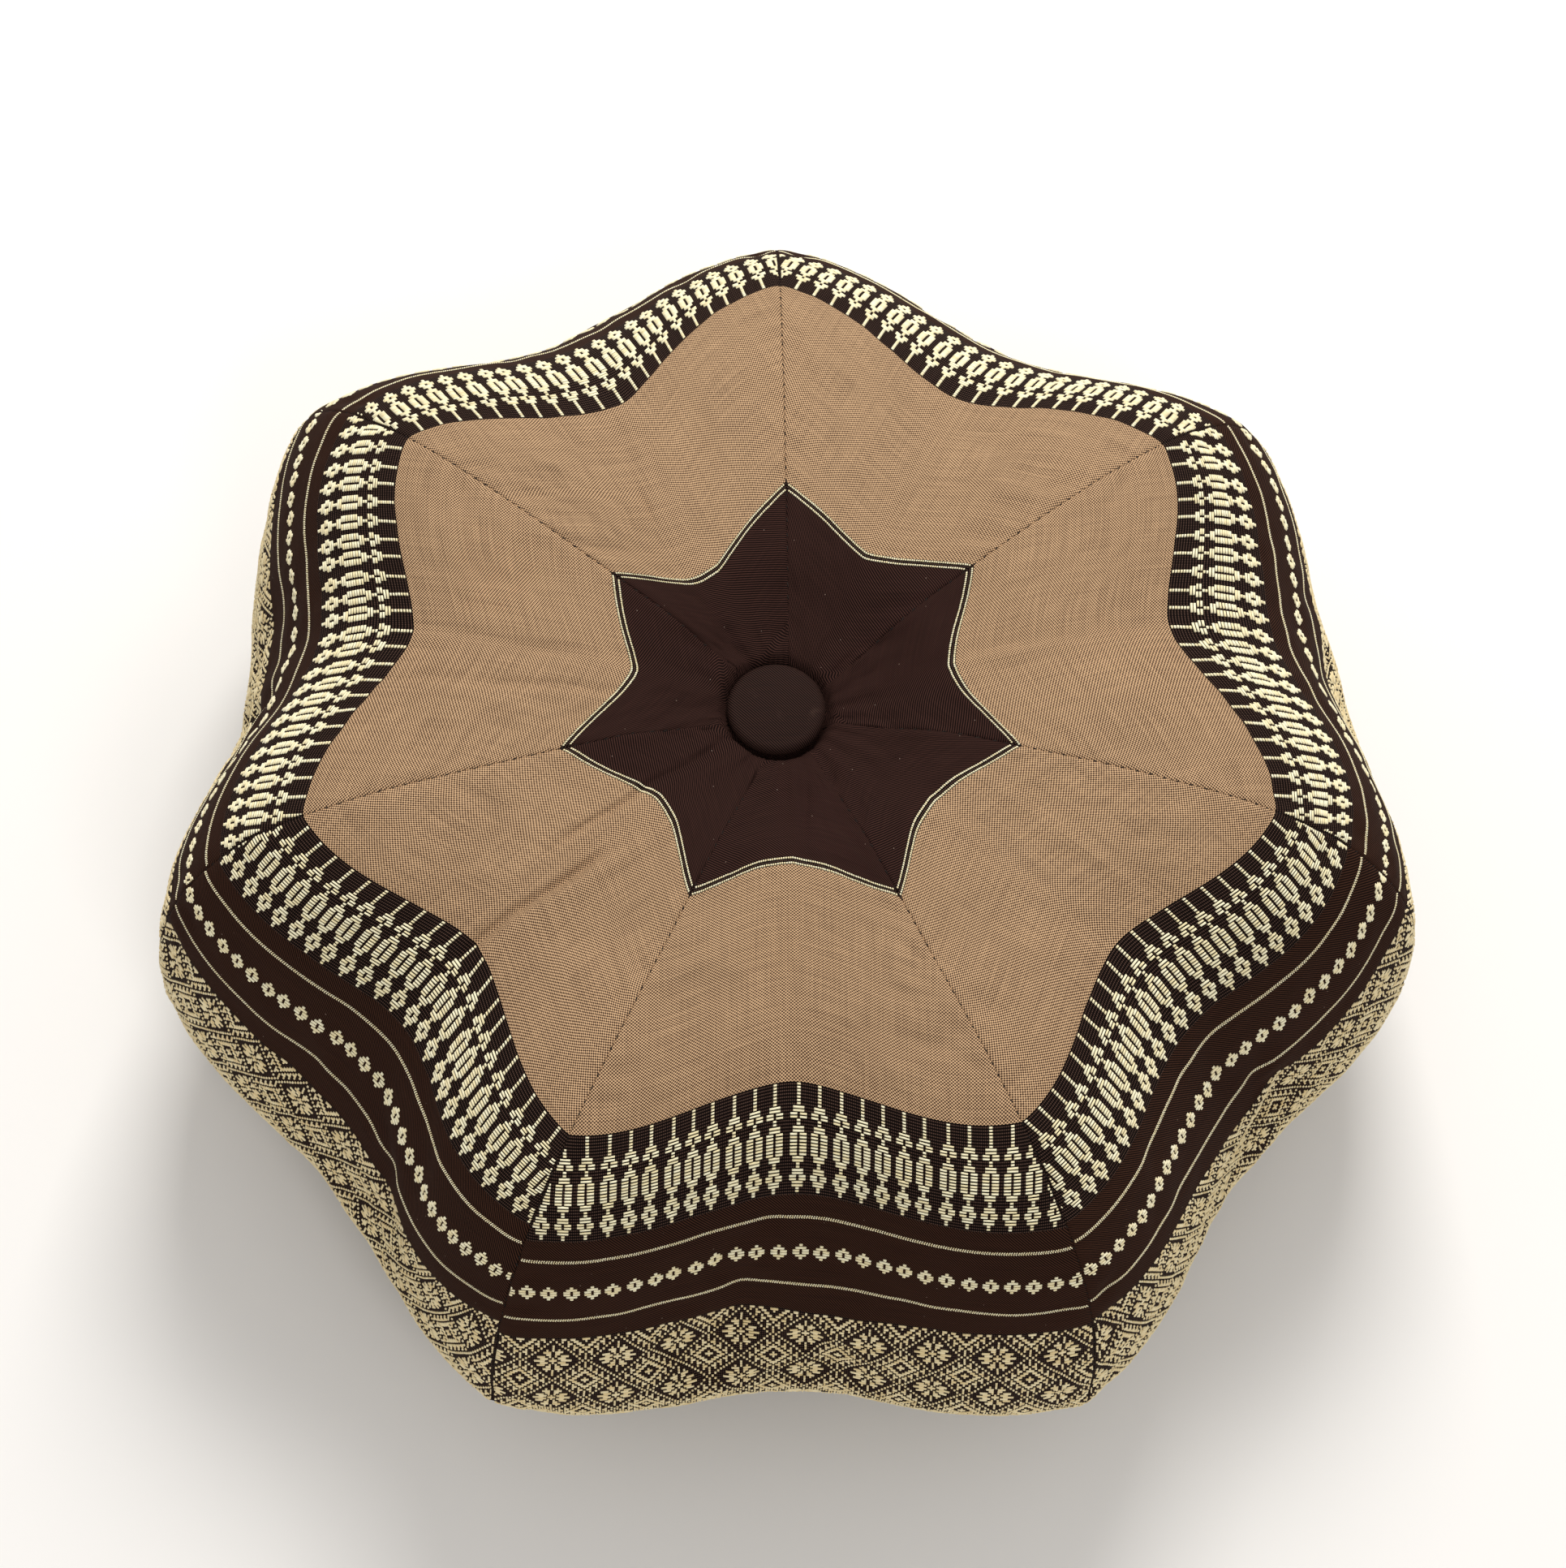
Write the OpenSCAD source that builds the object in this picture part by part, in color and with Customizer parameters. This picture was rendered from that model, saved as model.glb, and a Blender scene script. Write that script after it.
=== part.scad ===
// Flower floor cushion: seven woven gores sewn into lobes, stuffed with kapok and
// drawn in by a covered button above and below. Millimetres, Z up, standing on Z = 0.
// Seam 0 points along +Y, and seams and gores are counted clockwise from above.

/* [Cover] */
// Radius at a seam where the cushion is widest
lobe_r = 286; // [240:1:320]
// Height of the crown above the floor
height = 251; // [220:1:280]
// Height of the widest level above the floor
widest_z = 93; // [80:1:110]
// Valley radius as a share of the seam radius, at the top
valley_top = 0.80; // [0.75:0.01:0.9]
// Valley radius as a share of the seam radius, at the widest level and below
valley_side = 0.88; // [0.82:0.01:0.94]
// Share of a sharp fold in the outline at each seam, against a round lobe
fold = 0.25; // [0:0.05:0.5]
// Thickness of the woven cloth
cloth = 1.2; // [0.8:0.1:2]
// Width of the seam allowance turned inwards along each seam
allowance = 8; // [5:1:12]

/* [Button] */
// Diameter of a covered button
button_d = 42; // [34:1:50]
// Height of a covered button
button_h = 8.5; // [7:0.5:10]
// Depth that the top button draws the crown in
top_dimple = 22; // [16:1:28]
// Depth that the bottom button draws the base in
bottom_dimple = 15; // [13:1:20]
// Distance of the buttons from the centre, to the left
button_left = 5.5; // [0:0.5:5.5]
// Distance of the buttons from the centre, to the back
button_rear = 1.5; // [0:0.5:1.5]
// Diameter of the tufting twine
twine_d = 2.5; // [2:0.1:3]

/* [Hidden] */

gores = 7;
half_gore = 180 / gores;
// Hand stuffing is uneven: how much fuller each seam and each valley is at the rim
seam_fuller = [-4, 3, 0, 0, 0, 0, 3];
valley_fuller = [9, 6, 2, 0, 2, 6, 9];
// How square the crown and the lower side are, as exponents of a superellipse
crown_out = 5.5;
crown_up = 2.2;
foot_out = 4;
foot_down = 2;
// Depth that the base would hang below the floor if the floor did not flatten it
settle = 6;
crown_h = height - widest_z;
foot_h = widest_z + settle;
// Radius of the hollow round each button
hollow_r = 75;

// Rows of a gore, from the centre of the crown to the centre of the base.
// Each row is [share of the widest radius, 1 above the widest level or -1 below].
crown_rows = 14;
foot_rows = 9;
hole_r = 11;
inner_rows = [for (r = [hole_r : 9 : 40]) r / lobe_r];
rows = concat(
    [for (c = inner_rows) [c, 1]],
    [for (i = [1 : crown_rows]) [1 - pow(1 - i / crown_rows, 2.2), 1]],
    [for (i = [1 : foot_rows]) [1 - pow(i / (foot_rows + 1), 2), -1]],
    [for (i = [len(inner_rows) - 1 : -1 : 0]) [inner_rows[i], -1]]
);
last_row = len(rows) - 1;

// Steps across a gore, from one seam at -1 to the next at 1
across = 8;
seam_gap = 0.15;
edge_roll = 1;
thread_r = 0.45;
thread_sides = 6;
fill_gap = 0.4;
slot_top = 1.9;
slot_foot = 1.5;

function hollow(r, depth) = depth * pow(max(0, 1 - pow(r / hollow_r, 2)), 2);

// Height of a row, before the buttons draw it in
function row_z(row) = row[1] > 0
    ? widest_z + crown_h * pow(1 - pow(row[0], crown_out), 1 / crown_up)
    : max(0, widest_z - foot_h * pow(1 - pow(row[0], foot_out), 1 / foot_down));

function drawn_z(row, r) = row[1] > 0
    ? row_z(row) - hollow(r, top_dimple)
    : row_z(row) + hollow(r, bottom_dimple);

function valley_share(row) = row[1] > 0
    ? valley_top + (valley_side - valley_top) * pow(1 - (row_z(row) - widest_z) / crown_h, 2)
    : valley_side;

// How far the outline has risen from the valley, 0, to the seam, 1
function rise(a) = fold * a * a + (1 - fold) * (1 - cos(180 * a)) / 2;

function seam_r(k, row) = row[0] * lobe_r + seam_fuller[k % gores] * pow(row[0], 3);
function valley_r(k, row) =
    row[0] * lobe_r * valley_share(row) + valley_fuller[k] * pow(row[0], 3);

// Radius across gore k: the seam on each side may be stuffed differently
function gore_r(k, a, row) =
    let (side = a < 0 ? seam_r(k, row) : seam_r(k + 1, row), low = valley_r(k, row))
    low + (side - low) * rise(abs(a));

function heading(k, a) = 90 - (2 * k + 1 + a) * half_gore;

// A point of gore k on a circle of radius r, at height z
function around(k, a, r, z) = [r * cos(heading(k, a)), r * sin(heading(k, a)), z];

// Outward direction of a row in the upright plane through the axis, as [out, up]
function tilt(i) =
    let (
        lo = rows[max(i - 1, 0)],
        hi = rows[min(i + 1, last_row)],
        out = (hi[0] - lo[0]) * lobe_r,
        up = drawn_z(hi, hi[0] * lobe_r) - drawn_z(lo, lo[0] * lobe_r),
        size = norm([out, up])
    )
    [-up, out] / size;

// Point of gore k at row i and step a, moved deep inwards and sideways from its seam
function skin(k, i, a, deep = 0, sideways = 0) =
    let (
        r = gore_r(k, a, rows[i]),
        n = tilt(i),
        inner = max(r - n[0] * deep, 1),
        turned = a - sign(a) * sideways / inner * 180 / PI / half_gore
    )
    around(k, turned, inner, drawn_z(rows[i], r) - n[1] * deep);

// The box of the widest outline, whose middle is the origin
outline = [
    for (k = [0 : gores - 1], a = [-1 : 0.05 : 0.95])
        around(k, a, gore_r(k, a, [1, 1]), 0)
];
outline_x = [for (p = outline) p[0]];
outline_y = [for (p = outline) p[1]];
middle = [max(outline_x) + min(outline_x), max(outline_y) + min(outline_y), 0] / 2;

// Skin of a solid made of closed rings of points, each as long as the next
function ring_faces(count, sides) = [
    for (i = [0 : count - 1], j = [0 : sides - 1])
        let (
            next_i = (i + 1),
            p = i * sides + j,
            q = i * sides + (j + 1) % sides,
            s = next_i * sides + (j + 1) % sides,
            t = next_i * sides + j
        )
        each [[p, t, q], [q, t, s]]
];

function flatten(lists) = [for (list = lists) each list];

// One row of a gore: its outer face, an allowance, its inner face and the other allowance
function gore_ring(k, i) = concat(
    [for (j = [0 : across]) let (a = 2 * j / across - 1)
        abs(a) == 1 ? skin(k, i, a, edge_roll, seam_gap) : skin(k, i, a)],
    [skin(k, i, 1, allowance, seam_gap), skin(k, i, 1, allowance, seam_gap + cloth)],
    [skin(k, i, 1, cloth + edge_roll, seam_gap + cloth)],
    [for (j = [across - 1 : -1 : 1]) skin(k, i, 2 * j / across - 1, cloth)],
    [skin(k, i, -1, cloth + edge_roll, seam_gap + cloth)],
    [skin(k, i, -1, allowance, seam_gap + cloth), skin(k, i, -1, allowance, seam_gap)]
);

// The cut end of a gore at the row that starts at point first
function gore_end(first) = concat(
    [for (j = [0 : across - 1])
        let (o = first + j, n = first + 2 * across + 3 - j)
        each [[o, o + 1, n], [o + 1, n - 1, n]]],
    [let (o = first + across) each [[o, o + 1, o + 2], [o, o + 2, o + 3]]],
    [let (o = first + 2 * across + 3) each [[first, o, o + 1], [first, o + 1, o + 2]]]
);

function turned_over(faces) = [for (f = faces) [f[2], f[1], f[0]]];

module gore(k) {
    sides = 2 * across + 6;
    points = flatten([for (i = [0 : last_row]) gore_ring(k, i)]);
    faces = concat(
        ring_faces(last_row, sides),
        gore_end(0),
        turned_over(gore_end(last_row * sides))
    );
    color("#a98c64") translate(-middle) polyhedron(points, faces);
}

// Sewing thread in the fold between two gores, from button to button
module seam_thread(k) {
    first = 2;
    runs = [for (i = [first : last_row - first])
        let (
            r = seam_r(k, rows[i]),
            n = tilt(i),
            lift = edge_roll - thread_r - 0.05,
            h = heading(k, -1),
            side = [-sin(h), cos(h), 0],
            out = [n[0] * cos(h), n[0] * sin(h), n[1]],
            middle_point = around(k, -1, r, drawn_z(rows[i], r)) - lift * out
        )
        [for (j = [0 : thread_sides - 1])
            middle_point + thread_r * (cos(360 * j / thread_sides) * out
                + sin(360 * j / thread_sides) * side)]
    ];
    end = (len(runs) - 1) * thread_sides;
    faces = concat(
        ring_faces(len(runs) - 1, thread_sides),
        [[for (j = [0 : thread_sides - 1]) j]],
        [[for (j = [thread_sides - 1 : -1 : 0]) end + j]]
    );
    color("#1c1512") translate(-middle) polyhedron(flatten(runs), faces);
}

// One row of the fill across gore k, with a slot at each seam for the allowances
function fill_row(k, i) =
    let (
        skin_deep = cloth + fill_gap,
        edge_deep = skin_deep + edge_roll,
        slot_deep = allowance + 1
    )
    concat(
        [fill_point(k, i, -1, slot_deep, slot_foot)],
        [fill_point(k, i, -1, edge_deep, slot_top)],
        [for (j = [1 : across - 1]) fill_point(k, i, 2 * j / across - 1, skin_deep, 0)],
        [fill_point(k, i, 1, edge_deep, slot_top)],
        [fill_point(k, i, 1, slot_deep, slot_foot)]
    );

function fill_point(k, i, a, deep, sideways) =
    let (
        r = max(gore_r(k, a, rows[i]), hole_r),
        end = i == 0 || i == last_row,
        n = end ? [0, sign(rows[i][1])] : tilt(i),
        inner = end ? hole_r : max(r - n[0] * deep, hole_r),
        turned = a - sign(a) * sideways / inner * 180 / PI / half_gore
    )
    around(k, turned, inner, drawn_z(rows[i], r) - n[1] * deep);

module kapok_fill() {
    sides = gores * (across + 3);
    rings = [for (i = [0 : last_row]) [for (k = [0 : gores - 1]) each fill_row(k, i)]];
    points = flatten(rings);
    wall = [for (j = [0 : sides - 1])
        let (p = last_row * sides + j, q = last_row * sides + (j + 1) % sides)
        each [[p, j, q], [q, j, (j + 1) % sides]]];
    color("#efe6d0") translate(-middle) polyhedron(points, concat(ring_faces(last_row, sides), wall));
}

button_r = button_d / 2;
cover_t = 0.8;
shell_wall = 0.7;
shell_gap = 0.1;
rim_r = 3.5;
mouth_r = button_r - 5;
back_t = 1;
loop_r = 3;
wire_r = 0.7;
eye_r = 3.5;
round_fn = 64;

// Half the section of a button shrunk by inset: a low dome with a round rim
module button_section(inset) {
    rim = rim_r - inset;
    flat_r = button_r - rim_r;
    cap = button_h - 2 * rim_r;
    ball_r = (flat_r * flat_r + cap * cap) / (2 * cap);
    translate([0, inset]) square([flat_r, 2 * rim]);
    translate([flat_r, rim_r]) circle(rim, $fn = 48);
    intersection() {
        translate([0, button_h - ball_r]) circle(ball_r - inset, $fn = 180);
        translate([0, rim_r]) square([flat_r, button_h]);
    }
}

module button_cover() {
    color("#33211d") rotate_extrude($fn = round_fn) difference() {
        button_section(0);
        button_section(cover_t);
        square([mouth_r, rim_r]);
    }
}

module button_shell() {
    inset = cover_t + shell_gap;
    color("silver") rotate_extrude($fn = round_fn) difference() {
        button_section(inset);
        button_section(inset + shell_wall);
        square([mouth_r, rim_r]);
    }
}

module button_back() {
    color("silver") difference() {
        cylinder(r = mouth_r - shell_gap, h = back_t, $fn = round_fn);
        for (side = [-1, 1])
            translate([side * loop_r, 0, -1])
                cylinder(r = wire_r + shell_gap, h = back_t + 2, $fn = 24);
    }
}

// Wire eye under the back plate, with its two legs riveted over inside the button
module button_loop() {
    head_r = 1.3;
    head_h = 0.8;
    above = back_t + 0.05;
    color("silver") {
        translate([0, 0, -loop_r]) rotate([-90, 0, 0]) rotate_extrude(angle = 180, $fn = round_fn)
            translate([loop_r, 0]) circle(wire_r, $fn = 24);
        for (side = [-1, 1]) translate([side * loop_r, 0, 0]) {
            translate([0, 0, -loop_r]) cylinder(r = wire_r, h = loop_r + above + head_h, $fn = 24);
            translate([0, 0, above]) cylinder(r = head_r, h = head_h, $fn = 24);
        }
    }
}

// Place of the buttons, and the height at which each flat back clears the cloth in its hollow
button_at = [-button_left, button_rear, 0];
seat_r = button_r - rim_r + norm(button_at);
seat_gap = 0.3;
top_seat = drawn_z([seat_r / lobe_r, 1], seat_r) + seat_gap;
bottom_seat = drawn_z([seat_r / lobe_r, -1], seat_r) - seat_gap;

module on_top() {
    translate(button_at + [0, 0, top_seat] - middle) children();
}

module below() {
    translate(button_at + [0, 0, bottom_seat] - middle) mirror([0, 0, 1]) children();
}

// Twine from eye to eye through the fill, with an eye at each end round the wire
link = loop_r + eye_r - wire_r - twine_d / 2 - 0.05;
twine_top = top_seat - loop_r - link;
twine_bottom = bottom_seat + loop_r + link;

module twine_eye() {
    rotate([0, 90, 0]) rotate_extrude($fn = round_fn) translate([eye_r, 0]) circle(twine_d / 2, $fn = 24);
}

module tufting_twine() {
    color("#d8c9a0") translate(button_at - middle) {
        translate([0, 0, twine_top]) twine_eye();
        translate([0, 0, twine_bottom]) twine_eye();
        translate([0, 0, twine_bottom + eye_r])
            cylinder(d = twine_d, h = twine_top - twine_bottom - 2 * eye_r, $fn = 24);
    }
}

// Wraps of the twine's tail, tied round it above the bottom eye
module twine_knot() {
    wraps = 3;
    wrap_r = twine_d / 2 - 0.1;
    color("#d8c9a0") translate(button_at + [0, 0, twine_bottom + eye_r + twine_d] - middle)
        for (i = [0 : wraps - 1])
            translate([0, 0, i * 2 * wrap_r * 0.96]) rotate_extrude($fn = round_fn)
                translate([twine_d / 2 + wrap_r + 0.05, 0]) circle(wrap_r, $fn = 24);
}

gore(0);  // panel_1
gore(1);  // panel_2
gore(2);  // panel_3
gore(3);  // panel_4
gore(4);  // panel_5
gore(5);  // panel_6
gore(6);  // panel_7
seam_thread(0);  // seam_thread_1
seam_thread(1);  // seam_thread_2
seam_thread(2);  // seam_thread_3
seam_thread(3);  // seam_thread_4
seam_thread(4);  // seam_thread_5
seam_thread(5);  // seam_thread_6
seam_thread(6);  // seam_thread_7
kapok_fill();
on_top() button_cover();  // top_button_cover
on_top() button_shell();  // top_button_shell
on_top() button_back();  // top_button_back
on_top() button_loop();  // top_button_loop
below() button_cover();  // bottom_button_cover
below() button_shell();  // bottom_button_shell
below() button_back();  // bottom_button_back
below() button_loop();  // bottom_button_loop
tufting_twine();
twine_knot();
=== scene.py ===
import math

import bpy
import numpy as np
from mathutils import Matrix, Vector


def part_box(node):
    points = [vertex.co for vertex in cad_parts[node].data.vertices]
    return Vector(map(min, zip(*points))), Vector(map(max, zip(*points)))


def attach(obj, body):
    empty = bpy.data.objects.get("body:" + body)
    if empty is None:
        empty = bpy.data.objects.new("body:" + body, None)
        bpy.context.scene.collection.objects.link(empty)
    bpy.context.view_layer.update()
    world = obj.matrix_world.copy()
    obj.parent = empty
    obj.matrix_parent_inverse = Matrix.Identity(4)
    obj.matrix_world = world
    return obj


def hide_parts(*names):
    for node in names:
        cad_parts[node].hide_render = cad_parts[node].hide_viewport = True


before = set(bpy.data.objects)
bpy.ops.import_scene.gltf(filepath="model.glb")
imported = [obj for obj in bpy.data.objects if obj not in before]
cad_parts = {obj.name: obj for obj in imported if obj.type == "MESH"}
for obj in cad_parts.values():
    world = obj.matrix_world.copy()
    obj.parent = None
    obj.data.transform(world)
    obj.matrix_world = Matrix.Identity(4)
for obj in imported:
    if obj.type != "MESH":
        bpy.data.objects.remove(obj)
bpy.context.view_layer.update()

# Sizes are in millimetres unless a name says otherwise, and become metres when a mesh is made.
MM = 0.001
GORES = 7
HALF_GORE = math.pi / GORES

# The cover's outline, the same surface as the CAD solids
LOBE_R = 286.0
HEIGHT = 251.0
WIDEST_Z = 93.0
VALLEY_TOP = 0.80
VALLEY_SIDE = 0.88
FOLD = 0.25
SETTLE = 6.0
CROWN_OUT = 5.5
CROWN_UP = 2.2
FOOT_OUT = 4.0
FOOT_DOWN = 2.0
HOLLOW_R = 75.0
TOP_DIMPLE = 22.0
BOTTOM_DIMPLE = 15.0
SEAM_FULLER = np.array([-4.0, 3, 0, 0, 0, 0, 3])
VALLEY_FULLER = np.array([9.0, 6, 2, 0, 2, 6, 9])

# Cloth, and the columns and rows of its figures. UNIT is a column of the pins and of the
# flowers, and also a row of the flowers. No gore reaches nearer to its tips than TIP_V.
CLOTH_T = 1.2
ALLOWANCE = 8.0
UNIT = 1.49
PIN_PITCH = 1.3
LATTICE_COLUMN = 1.25
LATTICE_PITCH = 1.66
TIP_V = 5.0

# Where the cloth's bands run: radius or height at the valley and at the seam, and how round
# the line is across the gore, from 0 for two straight edges to 1 for a wave
STAR_VALLEY_R = 72.0
STAR_SEAM_R = 97.5
STAR_BEND = 1.5
TAN_EDGE = (166.0, 209.0, 0.55)
LINE_1 = (197.0, 208.0, 0.8)
LINE_2 = (162.0, 176.0, 0.9)
LATTICE_EDGE = (145.0, 164.0, 0.9)
LATTICE_REPEATS = 5
# Columns and rows of one repeat of the lattice
LATTICE_WIDE = 22
LATTICE_TALL = 20

# The cover is sewn by hand, so no two gores are alike. How far each seam and each valley
# leans clockwise at the rim, and how far down the cloth each line is sewn at the seams and,
# in threes, half-way in from the left seam, in the valley and half-way to the right seam.
# Where two gores were sewn a little out of step, their lines miss each other by twice the slip.
SEAM_LEAN = (0.0, 6, 2, -4, 4, 0, 6)
VALLEY_LEAN = (5.0, -3, -2, 4, -2, 0, 0)
STAR_AT_SEAM = (3.0, 1, -1.5, 0, -1, -1, -4)
TAN_AT_SEAM = (0.5, 0, -1.5, -5, -1, -1.5, 1.5)
LINE_AT_SEAM = (0.0, -6, -6, -1.5, 1, 4, -6)
LOW_AT_SEAM = (0.0, -3, -8, -5, -2, 0, 0)
SEAM_SLIP = (0.0, 0, -1, 1, -4, -1, 0)
STAR_SAG = (
    (3, 3, 1), (-2, -2, -5), (-1, 2, -2), (-1, 1, -2.5),
    (-4, -1, -1), (-5.5, -5, -4), (-10, -3, 0.5),
)
TAN_SAG = (
    (-1, 3, 3), (-1, 1, 0.5), (0, 3, -4), (-5, -1.5, -5),
    (-2, 0.5, -2.5), (-4, -3, -2), (-8, -3, 1.5),
)
LINE_SAG = ((0, 2, 0), (2, 2, 8), (8, 5, 2), (-1.5, -3, 1.5), (7, -1, 3), (6, 4, 5), (-3, -3, 0))
LOW_SAG = ((0, 2, 0), (4, 5, 8), (12, 12, 4), (-3, -3, 0), (14, 3, 5), (2, 2, 2), (-3, -3, 0))

# Where each gore's figures start across the cloth, as each was cut from another place
PIN_PHASE = (2.75, 3.4, -2.9, 2.3, 4.5, -2.6, -4.2)
FLOWER_PHASE = (0.0, 0.6, -5.7, -0.5, 1.7, -5.4, -7)
LATTICE_PHASE = (5.0, -7, -12.5, -9.5, 0, 11, -3)

# Creases in the stuffed cloth: gore, v and u where each starts, v and u where it ends,
# its depth, negative for a ridge, and its width
CREASES = (
    (4, 26, 4.5, 86, 6.8, 1.4, 1.7),
    (4, 84, 6.8, 136, 10, 2.0, 1.6),
    (4, 122, -5, 198, 1.5, 3.0, 1.8),
    (4, 84, -13, 132, -12, -0.8, 3),
    (5, 88, -11, 192, -22, 1.2, 2.6),
    (5, 120, 1, 194, 3, 1.2, 3),
    (6, 121, -14, 140, -14.5, 1.8, 1.3),
    (6, 138, -12, 192, -9, 0.6, 4),
    (0, 90, -14, 182, -16, 0.7, 4),
    (2, 90, -23, 192, -24, -0.7, 3),
    (1, 88, 0, 192, 2, -0.7, 3),
    (3, 36, -6.5, 78, -5.5, 0.6, 1.7),
)

PROFILE_STEPS = 700
# How much closer together the crown's profile steps lie towards its rim
RIM_CROWDING = 2.2
FRONT_GORE = 3
# How soft the bend of a straight-edged line is in the valley
BEND_ROUND = 0.015

rng = np.random.default_rng(7)


# ---- the cover's surface
def hollow(r, depth):
    return depth * np.maximum(0, 1 - (r / HOLLOW_R) ** 2) ** 2


def profile():
    """Share of the widest radius, height and whether it is crown, from centre to centre."""
    t = np.linspace(0, 1, PROFILE_STEPS)
    crown = 1 - (1 - t) ** RIM_CROWDING
    crown_z = WIDEST_Z + (HEIGHT - WIDEST_Z) * (1 - crown**CROWN_OUT) ** (1 / CROWN_UP)
    foot = 1 - t[1:] ** 2
    foot_z = WIDEST_Z - (WIDEST_Z + SETTLE) * (1 - foot**FOOT_OUT) ** (1 / FOOT_DOWN)
    share = np.concatenate([crown, foot])
    z = np.concatenate([crown_z, np.maximum(0, foot_z)])
    return share, z, len(crown)


SHARE, PROFILE_Z, CROWN_N = profile()


def rise(a):
    return FOLD * a * a + (1 - FOLD) * (1 - np.cos(math.pi * a)) / 2


def heading(k, a):
    return math.pi / 2 - (2 * k + 1 + a) * HALF_GORE


def lean(k, a, c):
    """How far gore k's columns lean clockwise, in mm, at share c of the widest radius."""
    left, right = SEAM_LEAN[k], SEAM_LEAN[(k + 1) % GORES]
    return (left + (right - left) * (1 + a) / 2) * c**2 + VALLEY_LEAN[k] * (1 - a * a) * c


def meridians(k, a):
    """Radius, height and arc length of gore k down each column a, one row per profile step."""
    c = SHARE[:, None]
    is_crown = np.arange(len(SHARE))[:, None] < CROWN_N
    up = np.clip((PROFILE_Z[:, None] - WIDEST_Z) / (HEIGHT - WIDEST_Z), 0, 1)
    valley_share = np.where(
        is_crown, VALLEY_TOP + (VALLEY_SIDE - VALLEY_TOP) * (1 - up) ** 2, VALLEY_SIDE
    )
    seam_fuller = np.where(a < 0, SEAM_FULLER[k], SEAM_FULLER[(k + 1) % GORES])[None, :]
    seam = c * LOBE_R + seam_fuller * c**3
    valley = c * LOBE_R * valley_share + VALLEY_FULLER[k] * c**3
    r = valley + (seam - valley) * rise(np.abs(a))[None, :]
    z = PROFILE_Z[:, None] + np.where(is_crown, -hollow(r, TOP_DIMPLE), hollow(r, BOTTOM_DIMPLE))
    h = heading(k, a)[None, :] - lean(k, a[None, :], c) / LOBE_R
    xyz = np.stack([r * np.cos(h), r * np.sin(h), z], -1)
    steps = np.linalg.norm(np.diff(xyz, axis=0), axis=-1)
    arc = np.concatenate([np.zeros((1, len(a))), np.cumsum(steps, axis=0)])
    return xyz, r, arc


def across(a, low, high, roundness):
    """A band line across the gore, from low at the valley to high at the seam."""
    start, end = math.sqrt(BEND_ROUND), math.sqrt(1 + BEND_ROUND)
    edge = (np.sqrt(a * a + BEND_ROUND) - start) / (end - start)
    wave = (1 - np.cos(math.pi * a)) / 2
    return low + (high - low) * ((1 - roundness) * edge + roundness * wave)


def hermite(start, end, leave, arrive, t):
    """Cubic from start to end with slopes leave and arrive, at t from 0 to 1."""
    ends = start * (1 + 2 * t) * (1 - t) ** 2 + end * t * t * (3 - 2 * t)
    return ends + leave * t * (1 - t) ** 2 + arrive * t * t * (t - 1)


def sewn_place(k, a, at_seam, sag, slip=0.0):
    """How far down the cloth a line of gore k is sewn from its regular place, column by column."""
    left = at_seam[k] + slip * SEAM_SLIP[k]
    right = at_seam[(k + 1) % GORES] - slip * SEAM_SLIP[(k + 1) % GORES]
    y = np.array([left, *sag[k], right])
    tangent = np.gradient(y)
    at = (a + 1) * 2
    i = np.clip(np.floor(at).astype(int), 0, 3)
    return hermite(y[i], y[i + 1], tangent[i], tangent[i + 1], at - i)


def regular_arcs(k, a):
    """Arc length down each column to the lines of a cover with all its gores alike."""
    xyz, r, arc = meridians(k, a)
    outer = CROWN_N // 2
    rows = [np.zeros(len(a))]
    star = STAR_VALLEY_R + (STAR_SEAM_R - STAR_VALLEY_R) * np.abs(a) ** STAR_BEND
    for goal in (star, across(a, *TAN_EDGE)):
        rows.append([np.interp(goal[i], r[:CROWN_N, i], arc[:CROWN_N, i]) for i in range(len(a))])
    for line in (LINE_1, LINE_2, LATTICE_EDGE):
        goal = across(a, *line)
        z, s = xyz[outer:CROWN_N, :, 2], arc[outer:CROWN_N]
        rows.append([np.interp(-goal[i], -z[:, i], s[:, i]) for i in range(len(a))])
    rows.append(arc[CROWN_N - 1])
    rows.append(arc[-1])
    return np.array(rows, float)


def anchor_arcs(k, a):
    """Arc length down each column at which the cloth's band lines are crossed."""
    rows = regular_arcs(k, a)
    rows[1] += sewn_place(k, a, STAR_AT_SEAM, STAR_SAG)
    rows[2] += sewn_place(k, a, TAN_AT_SEAM, TAN_SAG)
    rows[3] += sewn_place(k, a, LINE_AT_SEAM, LINE_SAG, 1)
    rows[4] += sewn_place(k, a, LOW_AT_SEAM, LOW_SAG, 1)
    rows[5] += sewn_place(k, a, LOW_AT_SEAM, LOW_SAG, 1)
    return rows


def monotone(x, y, at):
    """Smooth curve through (x, y) that never turns back, with one column of y per curve."""
    gap = np.diff(x)[:, None]
    slope = np.diff(y, axis=0) / gap
    tangent = np.zeros_like(y)
    tangent[1:-1] = 2 * slope[1:] * slope[:-1] / np.maximum(slope[1:] + slope[:-1], 1e-9)
    tangent[0], tangent[-1] = slope[0], slope[-1]
    i = np.clip(np.searchsorted(x, at) - 1, 0, len(x) - 2)
    t = ((at - x[i]) / np.diff(x)[i])[:, None]
    return hermite(y[i], y[i + 1], tangent[i] * gap[i], tangent[i + 1] * gap[i], t)


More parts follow.
